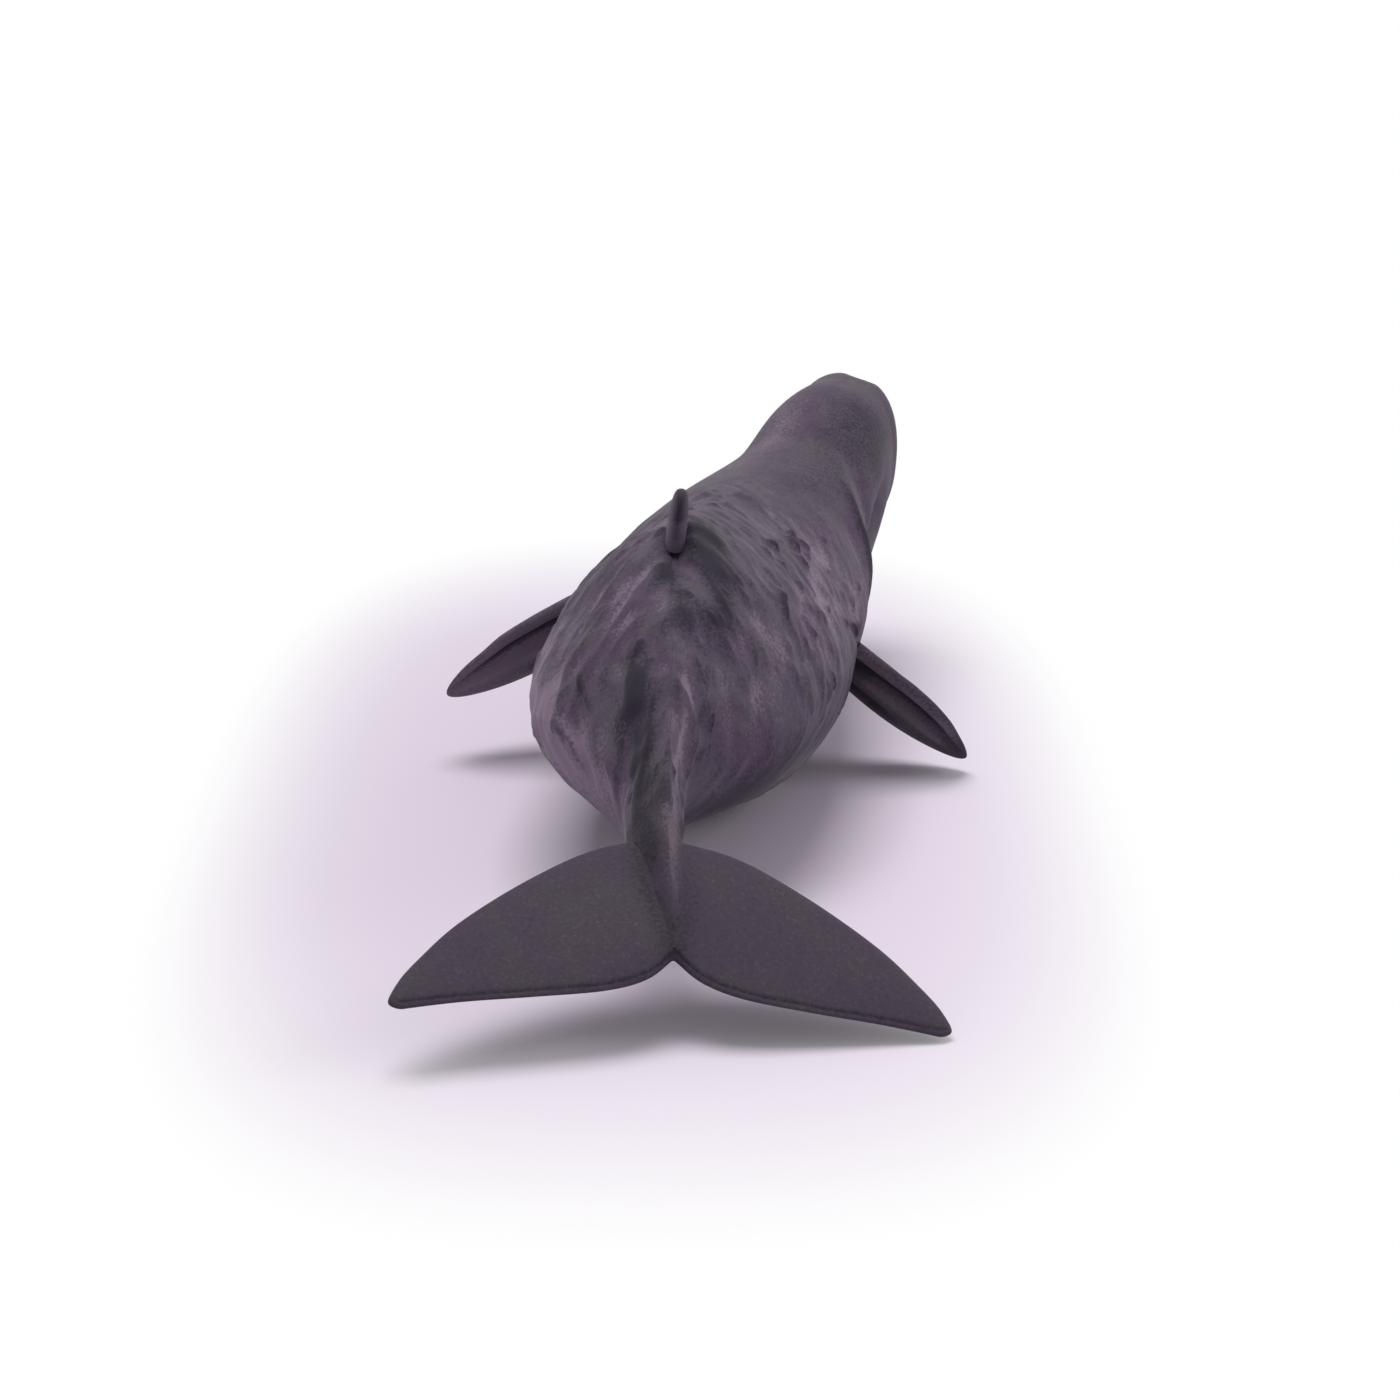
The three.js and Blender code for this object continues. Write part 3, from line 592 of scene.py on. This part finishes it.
def fluke_blade():
    """Loops round the blade, one for each place across it: ellipses from edge to edge, with a groove
    inside the rear edge. Also its painted shade, dark in the groove and in the creases beside the stock."""
    side, forward, up = turned(("Z", FLUKE_YAW), ("X", FLUKE_PITCH), ("Y", FLUKE_LEAN))
    share = -np.cos(np.linspace(0.02, math.pi - 0.02, 300))[:, None]
    out = np.abs(share)
    fore, aft = edge_at(LEADING_EDGE, out), edge_at(TRAILING_EDGE, out)
    into_tip = out * FLUKE_HALF_SPAN - (FLUKE_HALF_SPAN - FLUKE_TIP_ROUND)
    tip_round = np.sqrt(1 - (np.clip(into_tip, 0, None) / FLUKE_TIP_ROUND) ** 2)
    thick = FLUKE_ROOT_THICKNESS + (FLUKE_TIP_THICKNESS - FLUKE_ROOT_THICKNESS) * np.sqrt(out)
    droop = np.where(share < 0, FLUKE_DROOP[-1], FLUKE_DROOP[1]) * share**2
    bend = np.where(share < 0, FLUKE_BEND[-1], FLUKE_BEND[1]) * share**2
    around = np.linspace(0, 2 * math.pi, 220, endpoint=False)
    half_chord = (fore - aft) / 2 * tip_round
    chord = (fore + aft) / 2 + half_chord * np.cos(around) + bend
    rise = thick / 2 * tip_round * np.sin(around) - droop
    from_edge = half_chord * (1 + np.cos(around))
    groove = spot(from_edge - FLUKE_GROOVE_IN, FLUKE_GROOVE_WIDTH)
    groove = groove * smooth(half_chord, 0.0015, 0.004)
    rise = rise - FLUKE_GROOVE_DEPTH * groove * np.sign(np.sin(around))
    span = (FLUKE_HALF_SPAN * share)[..., None] * side
    loops = ROWS[0, :3] + span + chord[..., None] * forward + rise[..., None] * up
    beside = 0
    for angle in (-BESIDE_STOCK_ANGLE, BESIDE_STOCK_ANGLE):
        line = stroke(loops, [0.0, 0.9, 1.9], [angle] * 3, BESIDE_STOCK_WIDTH)
        beside = np.maximum(beside, line)
    return loops + up * (BESIDE_STOCK_HEIGHT * beside)[..., None], 0.9 * groove + 2.0 * beside


def tail_stock():
    """Loops round the end of the tail stock, with the same furrows as the body, their paint and painted
    shade, and paler paint that matches it to the body's colour.
    """
    row = np.linspace(STOCK_START, TAIL_JOINT - 0.0005, 150)[:, None]
    angle = np.linspace(-math.pi, math.pi, 200, endpoint=False)
    loops = skin_at(row, angle)
    normal = unit(np.cross(np.gradient(loops, axis=0), np.gradient(loops, axis=1)))
    raised, furrow, wash = skin_relief(row, angle, loops, normal)
    # Paler towards the body, to match the colour of the body's paint.
    wash = wash - 0.55 * smooth(row, 0.6, 2.3)
    return loops + normal * (raised * smooth(row, 0, 0.8) * MM)[..., None], furrow, wash


# As on the body: dark is the colour of the painted shade and pale that of the painted highlights and
# painted light; plain and grey are the vinyl's own colours.
smooth_skin = painted_vinyl(
    "smooth_vinyl",
    dark=(32, 27, 37),
    plain=(64, 54, 69),
    grey=(66, 58, 68),
    pale=(106, 94, 108),
    roughness=0.65,
)
blade_loops, blade_shade = fluke_blade()
blade_points, blade_faces = tube(blade_loops)
stock_loops, stock_furrow, stock_tone_and_shade = tail_stock()
stock_points, stock_faces = tube(stock_loops, len(blade_points))
painted = {
    "relief": np.concatenate([np.zeros(len(blade_points)), stock_furrow.ravel(), [0, 0]]),
    "wash": np.concatenate([blade_shade.ravel(), [0, 0], stock_tone_and_shade.ravel(), [0, 0]]),
}
tail_points = np.concatenate([blade_points, stock_points])
tail_faces = blade_faces + stock_faces
make_piece("flukes", tail_points, tail_faces, smooth_skin, "smooth_skin", ["tail_flukes"], painted)

# Back fin: a low hooked blade, moulded solid in darker vinyl. Its tenon is clamped and glued between
# the two halves of the body.
FIN_ROW = 5
FIN_LENGTH = 0.022
FIN_HEIGHT = 0.0115
FIN_THICKNESS = 0.0044
FIN_HOOK = 0.007
FIN_REAR_CUT = 0.45  # how much shorter the rear of its foot is, where the skin rises to meet it
FIN_ROUNDING = 0.6  # less is blunter at the top
FIN_TURN, FIN_LEAN = 8, 8
FIN_SUNK = 0.003


def spun(vector, axis, degrees):
    """A vector turned about an axis."""
    turn = Matrix.Rotation(math.radians(degrees), 3, axis.tolist())
    return np.array(turn) @ vector


def fin_loops():
    """Loops round the fin, one above the other: ellipses that shrink and trail backwards. Also its
    tone, which pales the rear of its foot to the colour of the skin there."""
    base = skin_at(FIN_ROW, 0.0)
    forward, up, _ = body_axes(np.array(float(FIN_ROW)))
    forward = spun(forward, up, FIN_TURN)
    up = spun(up, forward, FIN_LEAN)
    side = np.cross(forward, up)
    rise = np.linspace(-FIN_SUNK, FIN_HEIGHT * 0.9999, 70)[:, None]
    share = np.maximum(rise, 0) / FIN_HEIGHT
    full = (1 - share**2) ** FIN_ROUNDING
    around = np.linspace(0, 2 * math.pi, 64, endpoint=False)
    rear = 1 - FIN_REAR_CUT * (1 - share) * (np.cos(around) < 0)
    along = FIN_LENGTH / 2 * full * rear * np.cos(around) - FIN_HOOK * share**2
    across = FIN_THICKNESS / 2 * np.sqrt(full) * np.sin(around)
    wash = -1.6 * smooth(rise, 0.006, 0.002) * smooth(np.cos(around), 0.2, -0.4)
    return base + rise[..., None] * up + along[..., None] * forward + across[..., None] * side, wash


fin_skin = painted_vinyl(
    "fin_vinyl",
    dark=(30, 24, 32),
    plain=(50, 39, 54),
    grey=(54, 45, 58),
    pale=(86, 73, 89),
    roughness=0.65,
)
loops, wash = fin_loops()
painted = {"wash": np.concatenate([wash.ravel(), [0, 0]])}
make_piece("back_fin", *tube(loops), fin_skin, "fin_skin", ["dorsal_fin"], painted)

# Flippers: a solid vinyl paddle on each flank, with a peg that is glued into a socket in the skin.
# The two are bent a little differently, so some values are given by side, -1 for the left.
FLIPPER_ROW = {-1: 7.1, 1: 7.0}
FLIPPER_ANGLE = {-1: 97, 1: 101.5}
FLIPPER_DROOP = 35
FLIPPER_LENGTH = {-1: 0.040, 1: 0.037}
FLIPPER_ROOT_CHORD, FLIPPER_MID_CHORD, FLIPPER_TIP_CHORD = 0.020, 0.0235, 0.013
FLIPPER_ROOT_THICKNESS, FLIPPER_TIP_THICKNESS = 0.0046, 0.0024
FLIPPER_TIP_FULLNESS = 6
FLIPPER_TWIST = {-1: 42, 1: 37}
FLIPPER_SWEEP = {-1: 9, 1: -3}
FLIPPER_LEAN = 6.5
FLIPPER_SUNK = 0.004
# Marks along the face that is seen from behind: places and widths across it, as shares of its half
# chord, and heights or depths. The lumps are those of its front edge.
RIM_AT, RIM_WIDTH, RIM_HEIGHT = {-1: 0.88, 1: 0.86}, {-1: 0.09, 1: 0.12}, 0.0006
GROOVE_AT, GROOVE_WIDTH, GROOVE_DEPTH = {-1: 0.69, 1: 0.64}, {-1: 0.07, 1: 0.09}, 0.0009
HOLLOW_AT, HOLLOW_WIDTH, HOLLOW_DEPTH = -0.5, 0.2, 0.0008
RIDGE_AT, RIDGE_WIDTH, RIDGE_HEIGHT = 0.12, 0.22, 0.0003
EDGE_LUMPS = 0.0006


def flipper_loops(hand):
    """Loops round a flipper, from inside the flank to its tip: flattened ellipses, with a rim, a
    groove, a ridge and a hollow along the face that is seen from behind. Also its paint: painted shade
    in the groove, the hollow and the gap near the root, and painted highlights on the rim and the ridge."""
    root = skin_at(FLIPPER_ROW[hand], hand * math.radians(FLIPPER_ANGLE[hand]))
    sweep = ("Z", -hand * FLIPPER_SWEEP[hand])
    axes = turned(("Y", FLIPPER_LEAN), ("Y", hand * FLIPPER_DROOP), sweep)
    side = np.array([hand, 0, 0]) @ axes
    twist = math.radians(FLIPPER_TWIST[hand])
    up = np.array([0, -math.cos(twist), math.sin(twist)]) @ axes
    forward = np.cross(up, side)
    share = np.sin(np.linspace(0, math.pi / 2 * 0.999, 110))[:, None]
    tip_round = np.sqrt(1 - share**FLIPPER_TIP_FULLNESS)
    plain = FLIPPER_ROOT_CHORD + (FLIPPER_TIP_CHORD - FLIPPER_ROOT_CHORD) * share
    swell = (FLIPPER_MID_CHORD - (FLIPPER_ROOT_CHORD + FLIPPER_TIP_CHORD) / 2) * np.sin(math.pi * share)
    thick = FLIPPER_ROOT_THICKNESS + (FLIPPER_TIP_THICKNESS - FLIPPER_ROOT_THICKNESS) * share
    around = np.linspace(0, 2 * math.pi, 240, endpoint=False)
    out = FLIPPER_LENGTH[hand] * share - FLIPPER_SUNK * (1 - share)
    across = np.sign(np.cos(around)) * np.abs(np.cos(around)) ** 0.8
    lumps = noise(np.stack([share * 7, share * 0, share * 0 + hand], axis=-1), 1.0, 21)
    half_chord = (plain + swell) / 2 * tip_round
    tall = half_chord * across + EDGE_LUMPS * lumps * smooth(across, 0.4, 1) * tip_round
    deep = thick / 2 * np.sign(np.sin(around)) * np.abs(np.sin(around)) ** 0.8
    tip_fade = smooth(1 - share, 0, 0.25)
    under = smooth(-hand * np.sin(around), 0, 0.25) * tip_fade
    rim = under * spot(across - RIM_AT[hand], RIM_WIDTH[hand])
    groove = under * spot(across - GROOVE_AT[hand], GROOVE_WIDTH[hand])
    groove = groove * (1 - 0.8 * smooth(share, 0.55, 0.85))
    hollow = under * spot(across - HOLLOW_AT, HOLLOW_WIDTH) * smooth(share, 0.6, 0.4)
    ridge = under * spot(across - RIDGE_AT, RIDGE_WIDTH)
    sunk = GROOVE_DEPTH * groove + HOLLOW_DEPTH * hollow - RIM_HEIGHT * rim - RIDGE_HEIGHT * ridge
    deep = deep * tip_round + hand * sunk
    loops = root + out[..., None] * side + tall[..., None] * up + deep[..., None] * forward
    near_root = smooth(share, 0.3, 0.05) * (1 - smooth(across, 0.6, 0.8))
    wash = 2.2 * groove + 1.5 * hollow - 0.8 * rim + 1.8 * near_root
    # Both faces are painted paler, as painted light, the left one more; the right one is darker towards
    # its tip.
    if hand < 0:
        wash = wash - 1.6 * ridge - 0.9
    else:
        wash = wash - 1.1 * ridge - 0.2 + 0.7 * smooth(share, 0.75, 0.9)
    return loops, wash


for hand, node in ((-1, "flipper_left"), (1, "flipper_right")):
    look = "left_paddle" if hand < 0 else "right_paddle"
    loops, wash = flipper_loops(hand)
    painted = {"wash": np.concatenate([wash.ravel(), [0, 0]])}
    make_piece(look, *tube(loops), smooth_skin, "smooth_skin", [node], painted)

# Lower jaw: a slim solid rod in vinyl, with a row of small teeth moulded on each side and painted
# off-white. It is glued up into the throat.
JAW_REAR, JAW_FRONT = 8.25, 10.75
JAW_HALF, JAW_TIP_HALF = 0.0065, 0.0032
JAW_DEPTH, JAW_TIP_DEPTH = 0.007, 0.0045
JAW_TIP_FULLNESS = 8
JAW_SINK = 0.0015
JAW_OPENING = 0.0026
TEETH_EACH_SIDE = 8
TEETH_FROM, TEETH_TO = 0.5, 0.94
TEETH_APART = 0.55
TOOTH_RADIUS, TOOTH_HEIGHT, TOOTH_ROOT = 0.0009, 0.002, 0.001


def jaw_at(share):
    """Middle, axes, half width and depth of the jaw at shares of its length."""
    row = JAW_REAR + (JAW_FRONT - JAW_REAR) * share
    size = curve_at(ROWS, row)
    forward, up, side = body_axes(row)
    depth = JAW_DEPTH + (JAW_TIP_DEPTH - JAW_DEPTH) * share
    half = JAW_HALF + (JAW_TIP_HALF - JAW_HALF) * share
    drop = -JAW_SINK + (JAW_OPENING + depth / 2 + JAW_SINK) * share
    middle = size[..., :3] - up * (size[..., 5] + drop)[..., None]
    return middle, up, side, half[..., None], depth[..., None]


def jaw_loops():
    """Loops round the jaw, from the throat to its tip: ellipses, rounded off at both ends."""
    share = np.sin(np.linspace(0, math.pi / 2 * 0.999, 120))
    middle, up, side, half, depth = jaw_at(share)
    tip_round = (np.sqrt(1 - share**JAW_TIP_FULLNESS) * np.sqrt(smooth(share, -0.01, 0.2)))[:, None]
    around = np.linspace(0, 2 * math.pi, 64, endpoint=False)
    across = half * tip_round * np.cos(around)
    rise = depth / 2 * tip_round * np.sin(around)
    return middle[:, None] + across[..., None] * side[:, None] + rise[..., None] * up[:, None]


def tooth_loops(share, hand):
    """Loops round a tooth: a small cone with a rounded tip."""
    middle, up, side, half, depth = jaw_at(np.array(share))
    foot = middle + side * hand * half * TEETH_APART
    foot = foot + up * depth / 2 * math.sqrt(1 - TEETH_APART**2)
    rise = np.linspace(0, 1, 14)[:, None]
    radius = TOOTH_RADIUS * (1 - rise**1.8) ** 0.8
    around = np.linspace(0, 2 * math.pi, 20, endpoint=False)
    forward = np.cross(up, side)
    level = rise * (TOOTH_HEIGHT + TOOTH_ROOT) - TOOTH_ROOT
    across, along = radius * np.cos(around), radius * np.sin(around)
    return foot + level[..., None] * up + across[..., None] * side + along[..., None] * forward


jaw_skin = painted_vinyl(
    "jaw_vinyl",
    dark=(70, 62, 70),
    plain=(104, 95, 105),
    grey=(104, 97, 105),
    pale=(205, 196, 180),
    roughness=0.5,
)
TEETH_WASH = -2.0  # all pale
jaw_points, jaw_faces = tube(jaw_loops())
jaw_wash = np.zeros(len(jaw_points))
for share in np.linspace(TEETH_FROM, TEETH_TO, TEETH_EACH_SIDE):
    for hand in (-1, 1):
        tooth_points, tooth_faces = tube(tooth_loops(share, hand), len(jaw_points))
        jaw_points = np.concatenate([jaw_points, tooth_points])
        jaw_faces += tooth_faces
        jaw_wash = np.concatenate([jaw_wash, np.full(len(tooth_points), TEETH_WASH)])
make_piece("jaw", jaw_points, jaw_faces, jaw_skin, "jaw_skin", ["lower_jaw"], {"wash": jaw_wash})

# Eyes: small domes moulded on the sides of the head, low down and near the corner of the mouth, and
# painted with gloss black.
EYE_ROW, EYE_ANGLE = 8.95, 1.93
EYE_LONG, EYE_TALL, EYE_PROUD = 0.0021, 0.0016, 0.0011


def eye_loops(hand):
    """Loops round an eye, from its foot in the skin to its top: ellipses that shrink as a dome does."""
    row, angle, small = EYE_ROW, hand * EYE_ANGLE, 0.01
    place = skin_at(row, angle)
    forward = unit(skin_at(row + small, angle) - place)
    outward = unit(np.cross(skin_at(row, angle + small) - place, forward))
    upward = np.cross(outward, forward)
    rise = np.linspace(0, math.pi / 2 * 0.999, 16)[:, None]
    around = np.linspace(0, 2 * math.pi, 36, endpoint=False)
    along = EYE_LONG * np.cos(rise) * np.cos(around)
    tall = EYE_TALL * np.cos(rise) * np.sin(around)
    level = 2 * EYE_PROUD * np.sin(rise) - EYE_PROUD
    return place + along[..., None] * forward + tall[..., None] * upward + level[..., None] * outward


eye_black = painted_vinyl(
    "eye_black",
    dark=(8, 7, 9),
    plain=(20, 16, 20),
    grey=(24, 20, 22),
    pale=(40, 34, 38),
    roughness=0.12,
)
for hand, look in ((-1, "left_eye"), (1, "right_eye")):
    make_piece(look, *tube(eye_loops(hand)), eye_black, "")

# Floor: a plain pale sheet under the figurine. Its lilac tint fades to white away from the whale,
# from one oval to a wider one.
FLOOR_HALF = 6.0
TINT = (236, 224, 240)
TINT_MIDDLE = (-0.012, 0.02)
TINT_HALF_WIDTH, TINT_HALF_LENGTH = 0.098, 0.21
FADE_START, FADE_END = 0.15, 1.5
floor_mesh = bpy.data.meshes.new("floor")
corners = np.array([[-1, -1, 0], [1, -1, 0], [1, 1, 0], [-1, 1, 0]]) * FLOOR_HALF
floor_mesh.from_pydata(corners, [], [[0, 1, 2, 3]])
floor = bpy.data.objects.new("floor", floor_mesh)
bpy.context.scene.collection.objects.link(floor)
floor_paint, start = new_material("floor_paint")
place = start.node("ShaderNodeTexCoord", out=3)
aside = start.node("ShaderNodeSeparateXYZ", values={0: place})
ahead = start.node("ShaderNodeSeparateXYZ", values={0: place}, out=1)
aside = (aside - TINT_MIDDLE[0]) / TINT_HALF_WIDTH
ahead = (ahead - TINT_MIDDLE[1]) / TINT_HALF_LENGTH
fade = ((aside**2) ** 1.5 + (ahead**2) ** 1.5).between(FADE_START, FADE_END)
lilac_paint = {"Base Color": colour(TINT), "Roughness": 0.9}
lilac = start.node("ShaderNodeBsdfPrincipled", values=lilac_paint)
white = start.node("ShaderNodeEmission", values={"Color": (1, 1, 1, 1), "Strength": 1.0})
camera_ray = start.node("ShaderNodeLightPath")
shown = start.node("ShaderNodeMixShader", values={0: fade * camera_ray, 1: lilac, 2: white})
start.node("ShaderNodeOutputMaterial", values={"Surface": shown})
floor_mesh.materials.append(floor_paint)

# Light: a large softbox overhead, a weaker one on the right and white surroundings, which light the
# figurine less than they are bright to the camera and in reflections. Each lamp has its place, size
# and power.
LIGHTS = {"softbox": [(-0.12, 0, 1.2), 0.75, 9.0], "side_light": [(0.9, -0.15, 0.5), 0.5, 2.0]}
for name, (place, size, power) in LIGHTS.items():
    light = bpy.data.lights.new(name, "AREA")
    light.shape = "SQUARE"
    light.size = size
    light.energy = power
    lamp = bpy.data.objects.new(name, light)
    lamp.location = place
    lamp.rotation_euler = Vector(place).to_track_quat("Z", "Y").to_euler()
    bpy.context.scene.collection.objects.link(lamp)
SKY_STRENGTH = 0.32
GLOSSY_RAY = 3  # the output of Light Path that holds it
world = bpy.data.worlds.new("studio")
bpy.context.scene.world = world
world.use_nodes = True
world.node_tree.nodes.clear()
sky = Signal(world.node_tree)
seen = sky.node("ShaderNodeLightPath") + sky.node("ShaderNodeLightPath", out=GLOSSY_RAY)
strength = SKY_STRENGTH + (1 - SKY_STRENGTH) * seen.between(0, 1)
backdrop = sky.node("ShaderNodeBackground", values={"Color": (1, 1, 1, 1), "Strength": strength})
sky.node("ShaderNodeOutputWorld", values={"Surface": backdrop})

# Camera: behind the whale and above it, level from side to side.
CAMERA_BACK = 0.590
CAMERA_HEIGHT = 0.257
CAMERA_PITCH = 17.65
CAMERA_LENS, CAMERA_SENSOR = 84.37, 36
camera_data = bpy.data.cameras.new("camera")
camera_data.sensor_width = CAMERA_SENSOR
camera_data.lens = CAMERA_LENS
camera = bpy.data.objects.new("camera", camera_data)
camera.location = (PLACE[0], PLACE[1] - CAMERA_BACK, CAMERA_HEIGHT)
camera.rotation_euler = (math.radians(90 - CAMERA_PITCH), 0, 0)
bpy.context.scene.collection.objects.link(camera)
bpy.context.scene.camera = camera
bpy.context.scene.view_settings.view_transform = "Standard"
